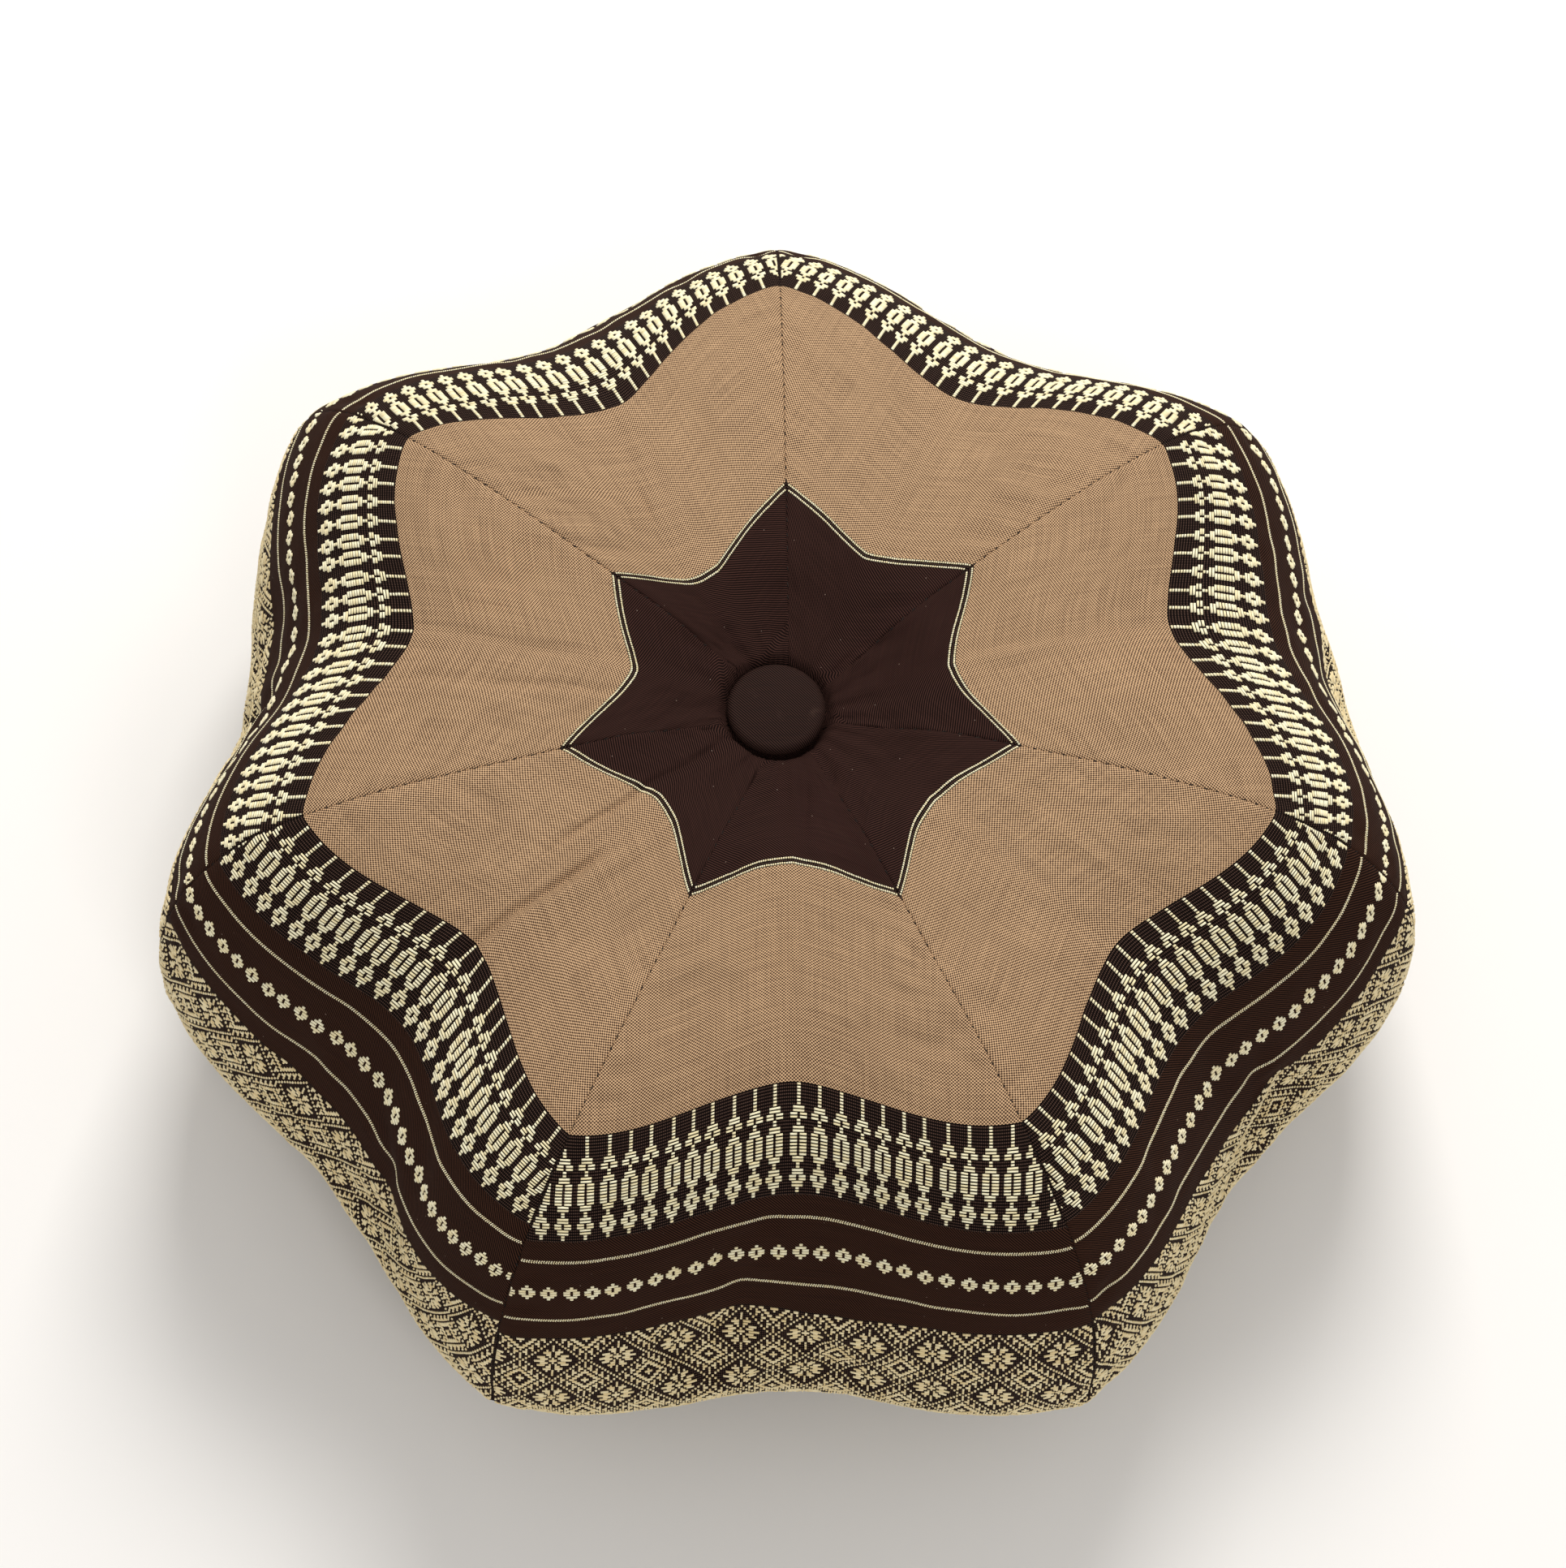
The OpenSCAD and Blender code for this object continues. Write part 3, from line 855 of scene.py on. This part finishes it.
# ---- material nodes
class Tree:
    """Short names for building a material's nodes."""

    def __init__(self, name):
        self.material = bpy.data.materials.new(name)
        self.material.use_nodes = True
        self.nodes = self.material.node_tree.nodes
        self.links = self.material.node_tree.links
        self.nodes.clear()
        self.shader = self.add("BsdfPrincipled")
        self.add("OutputMaterial", Surface=self.shader.outputs["BSDF"])

    def put(self, socket, value):
        if isinstance(value, bpy.types.NodeSocket):
            self.links.new(value, socket)
        else:
            socket.default_value = value

    def add(self, kind, **inputs):
        """A new node with these inputs, whose names have underscores for spaces."""
        node = self.nodes.new("ShaderNode" + kind)
        for name, value in inputs.items():
            self.put(node.inputs[name.replace("_", " ")], value)
        return node

    def math(self, operation, a, b=0.0):
        node = self.add("Math")
        node.operation = operation
        self.put(node.inputs[0], a)
        self.put(node.inputs[1], b)
        return node.outputs[0]

    def total(self, *terms):
        """Sum of the terms, each a value or a pair of a value and its factor."""
        values = [self.math("MULTIPLY", *x) if isinstance(x, tuple) else x for x in terms]
        out = values[0]
        for value in values[1:]:
            out = self.math("ADD", out, value)
        return out

    def sine(self, value, per_turn):
        return self.math("SINE", self.math("MULTIPLY", value, TAU / per_turn))

    def mix(self, share, a, b, blend="MIX"):
        node = self.add("Mix")
        node.data_type = "RGBA"
        node.blend_type = blend
        self.put(node.inputs["Factor"], share)
        self.put(node.inputs["A"], a)
        self.put(node.inputs["B"], b)
        return node.outputs["Result"]

    def coordinates(self):
        """The cloth's UV map in millimetres, and its u and v."""
        node = self.add("UVMap")
        node.uv_map = "cloth"
        u, v, _ = self.apart(node.outputs["UV"])
        return node.outputs["UV"], u, v

    def apart(self, vector):
        return self.add("SeparateXYZ", Vector=vector).outputs

    def place(self):
        return self.add("TexCoord").outputs["Object"]

    def noise(self, vector, scale, detail=2.0, rough=0.5):
        node = self.add("TexNoise", Vector=vector, Scale=scale, Detail=detail, Roughness=rough)
        return node.outputs["Fac"]

    def drawn_noise(self, vector, scale, detail=3.0):
        """Noise drawn out along a direction, with one scale per axis."""
        node = self.add("Mapping", Vector=vector, Scale=scale)
        return self.noise(node.outputs["Vector"], 1.0, detail)

    def ramp(self, value, low, high):
        """0 at low, 1 at high, smooth between."""
        node = self.add("MapRange", Value=value, From_Min=low, From_Max=high)
        node.interpolation_type = "SMOOTHSTEP"
        return node.outputs["Result"]

    def look(self, colour, rough, specular=0.5):
        self.put(self.shader.inputs["Base Color"], colour)
        self.put(self.shader.inputs["Roughness"], rough)
        self.put(self.shader.inputs["Specular IOR Level"], specular)

    def bump(self, height, strength, distance):
        """Relief. distance is in metres."""
        node = self.add("Bump", Height=height, Strength=strength, Distance=distance)
        self.put(self.shader.inputs["Normal"], node.outputs["Normal"])


def srgb(red, green, blue):
    """A colour given as seen on a screen, from 0 to 255, as Blender's linear colour."""
    out = []
    for value in (red, green, blue):
        x = value / 255
        out.append(x / 12.92 if x <= 0.04045 else ((x + 0.055) / 1.055) ** 2.4)
    return (*out, 1.0)


TAN = (srgb(66, 47, 37), srgb(210, 174, 135))
BROWN = (srgb(18, 9, 7), srgb(72, 46, 34))
STAR = (srgb(18, 10, 9), srgb(69, 45, 39))
BLACK = (srgb(14, 8, 7), srgb(84, 64, 55))
CREAM = (srgb(246, 230, 180), srgb(255, 249, 216))
CREAM_IN_PAINTED_SHADE = (srgb(234, 209, 152), srgb(253, 238, 194))
COTTON = (srgb(14, 11, 10), srgb(52, 44, 40))
BUTTON = (srgb(12, 7, 6), srgb(62, 41, 35))
STEEL = (srgb(150, 148, 145), srgb(196, 194, 190))
# The lattice is woven in the same cream thread. This copy is painted darker and warmer: painted
# shade and warm bounce light on the cushion's side
TWINE = (srgb(158, 136, 98), srgb(226, 212, 176))
KAPOK = (srgb(205, 188, 150), srgb(243, 234, 210))
FLOOR = (srgb(247, 245, 243), srgb(250, 249, 247))
LINT = srgb(150, 132, 120)
WORN = srgb(118, 92, 80)
SEED = srgb(120, 92, 60)
TAU = 2 * math.pi

# Pitches of the grounds' own threads
WEAVE_PITCH = 1.45
TWILL_PITCH = 1.3
WARP_PITCH = 0.85
# Half the width of the black strip that the star's two cords lie on
STRIP_HALF = 2.1


def twill(tree, u, v):
    """Diagonal lines of a twill, from 0 to 1."""
    return tree.ramp(tree.sine(tree.total(u, v), TWILL_PITCH), -0.6, 0.8)


def gore_material():
    tree = Tree("woven_gore")
    uv, u, v = tree.coordinates()
    # the lower half of the cloth mirrors the upper one
    past_mirror = tree.math("ABSOLUTE", tree.math("SUBTRACT", v, MIRROR_V))
    folded = tree.math("SUBTRACT", MIRROR_V, past_mirror)
    slub = tree.drawn_noise(uv, (0.03, 1.2, 1))
    warp = tree.drawn_noise(uv, (1.1, 0.03, 1))
    cloudy = tree.noise(uv, 0.02, 3)
    # tan ground: light and dark threads in plain weave, uneven along the threads
    check = tree.math("MULTIPLY", tree.sine(u, WEAVE_PITCH), tree.sine(v, WEAVE_PITCH))
    tan = tree.mix(tree.ramp(tree.total(check, (slub, 0.6), (warp, 0.4)), 0.18, 0.86), *TAN)
    # dark grounds: fine twill
    lines = twill(tree, u, v)
    grain = tree.math("MULTIPLY", lines, tree.total(0.45, (slub, 0.8)))
    # black grounds: ribs a pin row apart, crossed by paler warps
    rib = tree.sine(v, PIN_PITCH)
    warps = tree.sine(u, WARP_PITCH)
    dots = tree.ramp(tree.total((rib, 0.6), (warps, 0.4), (warp, 0.6)), 0.3, 1.2)
    black = tree.mix(dots, *BLACK)
    # lint caught on the dark cloth
    speck = tree.add("TexVoronoi", Vector=uv, Scale=0.22)
    tiny = tree.math("LESS_THAN", speck.outputs["Distance"], 0.05)
    rare = tree.math("GREATER_THAN", tree.noise(uv, 0.31, 1), 0.56)
    lint = tree.math("MULTIPLY", tree.math("MULTIPLY", tiny, rare), 0.8)
    brown = tree.mix(lint, tree.mix(grain, *BROWN), LINT)
    star = tree.mix(lint, tree.mix(grain, *STAR), LINT)
    # bands, one after another down the cloth, the pins' ground ending in a ragged edge
    ragged = tree.total(folded, (warp, 3.0), -1.5)
    pin_end = TAN_V + (PIN_ROWS + 1) * PIN_PITCH
    colour = star
    for edge, ground, position in (
        (STAR_V - STRIP_HALF, black, folded),
        (STAR_V + STRIP_HALF, tan, folded),
        (TAN_V, black, folded),
        (pin_end, brown, ragged),
        (LATTICE_V - 0.4, black, folded),
    ):
        colour = tree.mix(tree.math("GREATER_THAN", position, edge), colour, ground)
    tint = tree.total(0.93, (cloudy, 0.14))
    grey = tree.add("CombineColor", Red=tint, Green=tint, Blue=tint)
    colour = tree.mix(1.0, colour, grey.outputs[0], "MULTIPLY")
    tree.look(colour, tree.total(0.78, (slub, 0.16)), 0.04)
    tree.bump(tree.total((check, 0.5), (lines, 0.35), (slub, 0.5)), 0.5, 0.00018)
    return tree.material


def thread_material(name, colours):
    """Glossy weft: fibres along each float, and each float a little different."""
    tree = Tree(name)
    uv, _, _ = tree.coordinates()
    each = tree.add("NewGeometry").outputs["Random Per Island"]
    fibre = tree.drawn_noise(uv, (0.35, 6.0, 1))
    share = tree.ramp(tree.total((fibre, 0.55), (each, 0.4)), 0.15, 0.75)
    tree.look(tree.mix(share, *colours), tree.total(0.42, (fibre, 0.2)), 0.4)
    tree.shader.inputs["Sheen Weight"].default_value = 0.1
    tree.bump(fibre, 0.5, 0.00015)
    return tree.material


def cotton_material():
    """Twisted black sewing cotton."""
    tree = Tree("black_cotton")
    uv, u, v = tree.coordinates()
    turn = tree.math("SINE", tree.total((u, 9.0), (v, 3.0)))
    fuzz = tree.noise(uv, 3.0, 3)
    share = tree.total((turn, 0.25), fuzz)
    tree.look(tree.mix(tree.ramp(share, 0.2, 0.9), *COTTON), tree.total(0.6, (fuzz, 0.2)), 0.1)
    tree.bump(share, 0.6, 0.0001)
    return tree.material


def button_material():
    """The twill of the star, a little worn."""
    tree = Tree("button_cloth")
    uv, u, v = tree.coordinates()
    slub = tree.drawn_noise(uv, (0.06, 0.9, 1))
    lines = twill(tree, u, v)
    grain = tree.math("MULTIPLY", lines, tree.total(0.55, (slub, 0.7)))
    worn = tree.ramp(tree.noise(uv, 0.09, 4), 0.6, 0.85)
    colour = tree.mix(tree.math("MULTIPLY", worn, 0.15), tree.mix(grain, *BUTTON), WORN)
    tree.look(colour, tree.total(0.62, (slub, 0.2)), 0.06)
    tree.bump(tree.total(lines, slub), 0.5, 0.00014)
    return tree.material


def steel_material():
    """Drawn and pressed steel: fine brushing, a few darker patches."""
    tree = Tree("button_steel")
    place = tree.place()
    brushed = tree.drawn_noise(place, (900, 900, 60), 4)
    patches = tree.ramp(tree.noise(place, 160, 3), 0.35, 0.7)
    tree.look(tree.mix(patches, *STEEL), tree.total(0.28, (brushed, 0.2)))
    tree.shader.inputs["Metallic"].default_value = 1.0
    tree.bump(brushed, 0.3, 0.00005)
    return tree.material


def twine_material():
    """Three-ply waxed twine."""
    tree = Tree("tufting_twine")
    place = tree.place()
    x, y, z = tree.apart(place)
    ply = tree.math("SINE", tree.total((x, 1800.0), (y, 1800.0), (z, 3600.0)))
    fuzz = tree.noise(place, 2500, 3)
    share = tree.total((ply, 0.3), fuzz)
    tree.look(tree.mix(tree.ramp(share, 0.2, 0.9), *TWINE), tree.total(0.5, (fuzz, 0.25)))
    tree.bump(share, 0.8, 0.0003)
    return tree.material


def kapok_material():
    """Matted kapok fibre with a few seed specks."""
    tree = Tree("kapok")
    place = tree.place()
    tufts = tree.noise(place, 60, 6, 0.65)
    fibre = tree.drawn_noise(place, (500, 500, 120), 4)
    share = tree.total((tufts, 0.7), (fibre, 0.3))
    specks = tree.ramp(tree.noise(place, 240, 2), 0.72, 0.76)
    colour = tree.mix(specks, tree.mix(tree.ramp(share, 0.3, 0.7), *KAPOK), SEED)
    tree.look(colour, tree.total(0.82, (fibre, 0.15)))
    tree.bump(share, 1.0, 0.002)
    return tree.material


def floor_material():
    tree = Tree("pale_floor")
    tree.look(tree.mix(tree.noise(tree.place(), 1.5, 3), *FLOOR), 0.7, 0.2)
    return tree.material


def finish_piece(piece, material, nodes=()):
    piece.data.materials.clear()
    piece.data.materials.append(material)
    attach(piece, "root")
    if nodes:
        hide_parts(*nodes)


# ---- the cover
# The two lines are plaits of slanted stitches, and two cords run round the star.
# A stitch is its pitch, its slant, its half length and its half width.
PLAIT = (1.0, 0.85, 0.45, 0.26)
PLAIT_HALF = 0.38
CORD = (0.95, 0.25, 0.4, 0.6)
CORD_AT = 1.35


def band_bars(gore):
    """The cream figures of both halves of a gore, and the cords round its star."""
    k = gore.k
    flower_v = FLOWER_V - FLOWER_ROWS / 2 * UNIT
    figures = [
        figure_bars(gore, PIN_DRAFT, TAN_V + 0.4, PIN_PITCH, PIN_PHASE[k], 0.1),
        figure_bars(gore, FLOWER_DRAFT, flower_v, UNIT, FLOWER_PHASE[k], 0.35),
    ]
    pitch, slant, *size = PLAIT
    for line in (LINE_1_V, LINE_2_V):
        figures.append(stitch_line(gore, line - PLAIT_HALF, pitch, slant, *size))
        figures.append(stitch_line(gore, line + PLAIT_HALF, pitch, -slant, *size, pitch / 2))
    figures = np.concatenate(figures)
    cords = [stitch_line(gore, STAR_V + side * CORD_AT, *CORD) for side in (-1, 1)]
    return fitted(gore, np.concatenate([figures, mirrored(figures), *cords]))


cloth_look = gore_material()
weft_look = thread_material("cream_weft", CREAM)
# The lattice's cream carries painted shade and painted warm bounce light from the floor
lattice_look = thread_material("cream_weft_painted_shade", CREAM_IN_PAINTED_SHADE)
seam_edges = []
for k in range(GORES):
    gore = Gore(k)
    panel = mesh_object(f"gore_{k + 1}_cloth", *gore.cloth())
    finish_piece(panel, cloth_look, [f"panel_{k + 1}"])
    thick = panel.modifiers.new("thickness", "SOLIDIFY")
    thick.thickness = CLOTH_T * MM
    thick.offset = -1
    bands = bar_mesh(f"gore_{k + 1}_bands", gore, band_bars(gore))
    finish_piece(bands, weft_look)
    lattice = bar_mesh(f"gore_{k + 1}_lattice", gore, fitted(gore, lattice_bars(gore)))
    finish_piece(lattice, lattice_look)
    seam_edges.append((gore.points[:, 0], gore.seam_normals[0]))

# ---- fill, stitches and buttons
CORE_DEEP = 3.0
SEAM_DEEP = 10.0
TUFT_DEEP = 0.9
# The core stops this far down the cloth from either tip
CORE_V = 16.0


def kapok_core():
    """The stuffing inside the cover: matted fibre with a groove along each seam allowance."""
    rings = coarse_rings + coarse_shift
    on_seam = np.arange(rings.shape[1]) % COARSE_ACROSS == 0
    deep = np.where(on_seam, SEAM_DEEP, CORE_DEEP)[None, :, None]
    tuft = rng.uniform(0, TUFT_DEEP, rings.shape[:2])[..., None]
    keep = (coarse_v > CORE_V) & (coarse_v < END_V - CORE_V)
    core = (rings - wrapped_normals(rings) * (deep + tuft))[keep]
    core[..., 2] = np.maximum(core[..., 2], CORE_DEEP)
    return mesh_object("kapok_core", *capped(core))


STITCH_STEP = 5.6
STITCH_R = 0.3
STITCH_SIDES = 6
# The seams' stitches start this far from the cloth's tips
STITCHED_V = 42.0
# Places along a stitch, whose ends dive into the cloth and are thinner
STITCH_PLACES = (-0.5, -0.36, -0.12, 0.12, 0.36, 0.5)
STITCH_SUNK = 0.9
STITCH_PROUD = 0.1
STITCH_END = 0.45


def seam_stitches(k, edge, normals):
    """Hand stitches in black thread: short slanted ticks from one gore's edge to the other's."""
    sideways = beside(k, -1)
    places = np.arange(STITCHED_V, END_V - STITCHED_V, STITCH_STEP)
    places = places + rng.uniform(-0.9, 0.9, len(places))
    points, faces, uv = [], [], []
    for place in places:
        slant = rng.uniform(0.12, 0.42)
        length = rng.uniform(1.9, 3.1)
        tube = np.array(grid_faces(len(STITCH_PLACES), STITCH_SIDES, wrap=True))
        faces += (tube + len(points)).tolist()
        for t in STITCH_PLACES:
            v = place + t * length
            at = [np.interp(v, ROWS, edge[:, n]) for n in range(3)]
            n0 = unit_vectors(np.array([np.interp(v, ROWS, normals[:, n]) for n in range(3)]))
            sunk = STITCH_SUNK * (2 * abs(t)) ** 3 - STITCH_PROUD
            middle = at + sideways * slant * t * length - n0 * sunk
            size = STITCH_R * (STITCH_END if abs(t) == 0.5 else 1.0)
            for q in range(STITCH_SIDES):
                turn = TAU * q / STITCH_SIDES
                points.append(middle + size * (math.cos(turn) * sideways + math.sin(turn) * n0))
                uv.append((size * turn, v))
    return mesh_object(f"seam_{k + 1}_stitches", points, faces, uv)


BUTTON_RIM = 3.5
BUTTON_TURNS = 96
PLEATS = 22
PLEAT_H = 0.28
DENT_H = 0.12


def button_profile(height):
    """Radius and height down the cover, from the middle of its dome to its gathered edge."""
    flat = BUTTON_R - BUTTON_RIM
    crown = height - 2 * BUTTON_RIM
    out = [(r, height - crown * (r / flat) ** 2.2) for r in np.linspace(0.4, flat, 12)]
    for angle in np.radians(np.linspace(80, -80, 11)):
        out.append((flat + BUTTON_RIM * math.cos(angle), BUTTON_RIM * (1 + math.sin(angle))))
    out += [(flat - 1.0, 0.05), (flat - 2.2, 0.35), (flat - 2.6, 1.0)]
    return np.array(out)


def button_cover(name, node, upwards):
    """Cloth drawn over the button's dome and gathered in small pleats under its rim."""
    low, high = (np.array(corner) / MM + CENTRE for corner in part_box(node))
    middle = (low + high) / 2
    curve = button_profile(high[2] - low[2])
    turn = np.linspace(0, TAU, BUTTON_TURNS, endpoint=False)
    r, z = curve[:, :1], curve[:, 1:]
    under = np.clip((BUTTON_RIM - z) / BUTTON_RIM, 0, 1) * (r > 10)
    pleat = PLEAT_H * np.cos(PLEATS * turn + 0.6 * np.sin(3 * turn))[None, :]
    wide = r + under * (pleat - 0.3)
    dents = DENT_H * np.sin(3 * turn + 1)[None, :] * np.clip(r / 15, 0, 1)
    tall = z - np.abs(dents) * (z > BUTTON_RIM)
    x = middle[0] + wide * np.cos(turn)
    y = middle[1] + wide * np.sin(turn)
    points = np.stack([x, y, low[2] + tall if upwards else high[2] - tall], -1)
    steps = np.hypot(*np.diff(curve, axis=0).T)
    run = (curve[0, 0] + np.concatenate([[0], np.cumsum(steps)]))[:, None]
    uv = np.stack([run * np.cos(turn), run * np.sin(turn)], -1).reshape(-1, 2)
    uv = np.concatenate([uv, [[0, 0]]])
    points = np.concatenate([points.reshape(-1, 3), [points[0].mean(0)]])
    faces = [face[::-1] for face in grid_faces(len(curve), BUTTON_TURNS, wrap=True)]
    last = len(points) - 1
    faces += [[last, j, (j + 1) % BUTTON_TURNS] for j in range(BUTTON_TURNS)]
    if not upwards:
        faces = [face[::-1] for face in faces]
    return mesh_object(name, points, faces, uv)


finish_piece(kapok_core(), kapok_material(), ["kapok_fill"])
black_cotton = cotton_material()
for k, (edge, normals) in enumerate(seam_edges):
    stitches = seam_stitches(k, edge, normals)
    finish_piece(stitches, black_cotton, [f"seam_thread_{k + 1}"])
button_look = button_material()
for side, upwards in (("top", True), ("bottom", False)):
    cover = button_cover(f"{side}_button_cloth", f"{side}_button_cover", upwards)
    finish_piece(cover, button_look, [f"{side}_button_cover"])
steel, twine = steel_material(), twine_material()
for name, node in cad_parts.items():
    is_steel = name.endswith(("_shell", "_back", "_loop"))
    if is_steel or "twine" in name:
        node.data.materials.clear()
        node.data.materials.append(steel if is_steel else twine)

# ---- floor, light and camera
FLOOR_SIZE_M = 6.0
bpy.ops.mesh.primitive_plane_add(size=FLOOR_SIZE_M, location=(0, 0, 0))
floor = bpy.context.object
floor.name = "floor"
floor.data.materials.append(floor_material())

world = bpy.data.worlds.new("studio")
bpy.context.scene.world = world
world.use_nodes = True
background = world.node_tree.nodes["Background"]
background.inputs["Color"].default_value = (1.0, 0.98, 0.96, 1)
background.inputs["Strength"].default_value = 0.55


# Where both lights point, in metres
TARGET = Vector((0, 0, 0.1))


def softbox(name, place, size, power, colour):
    """A rectangular light. place and size are in metres, power is in watts."""
    light = bpy.data.lights.new(name, "AREA")
    light.shape = "RECTANGLE"
    light.size, light.size_y = size
    light.energy = power
    light.color = colour
    made = linked(name, light)
    made.location = place
    made.rotation_euler = (TARGET - Vector(place)).to_track_quat("-Z", "Y").to_euler()


softbox("key", (0.2, 1.6, 2.2), (1.1, 0.9), 50, (1.0, 0.98, 0.95))
softbox("front", (0.5, -1.7, 2.4), (0.7, 0.7), 11, (1.0, 0.98, 0.96))

# The camera looks down over the front, turned and tilted a little, as a hand-held one is.
# Its place is in metres.
CAMERA_PLACE = (-0.0620, -0.7575, 1.8209)
CAMERA_HEADING = math.radians(4.70)
CAMERA_DOWN = math.radians(65.64)
CAMERA_ROLL = math.radians(4.0)
LENS_MM = 94.9
SENSOR_MM = 36.0


def camera_axes():
    east, north = math.sin(CAMERA_HEADING), math.cos(CAMERA_HEADING)
    flat = math.cos(CAMERA_DOWN)
    ahead = Vector((flat * east, flat * north, -math.sin(CAMERA_DOWN)))
    level = Vector((north, -east, 0))
    upright = level.cross(ahead)
    right = level * math.cos(CAMERA_ROLL) + upright * math.sin(CAMERA_ROLL)
    return right, right.cross(ahead), -ahead


camera = linked("camera", bpy.data.cameras.new("camera"))
camera.data.lens = LENS_MM
camera.data.sensor_width = SENSOR_MM
turned = Matrix(camera_axes()).transposed().to_4x4()
camera.matrix_world = Matrix.Translation(CAMERA_PLACE) @ turned
bpy.context.scene.camera = camera
bpy.context.scene.view_settings.view_transform = "Standard"
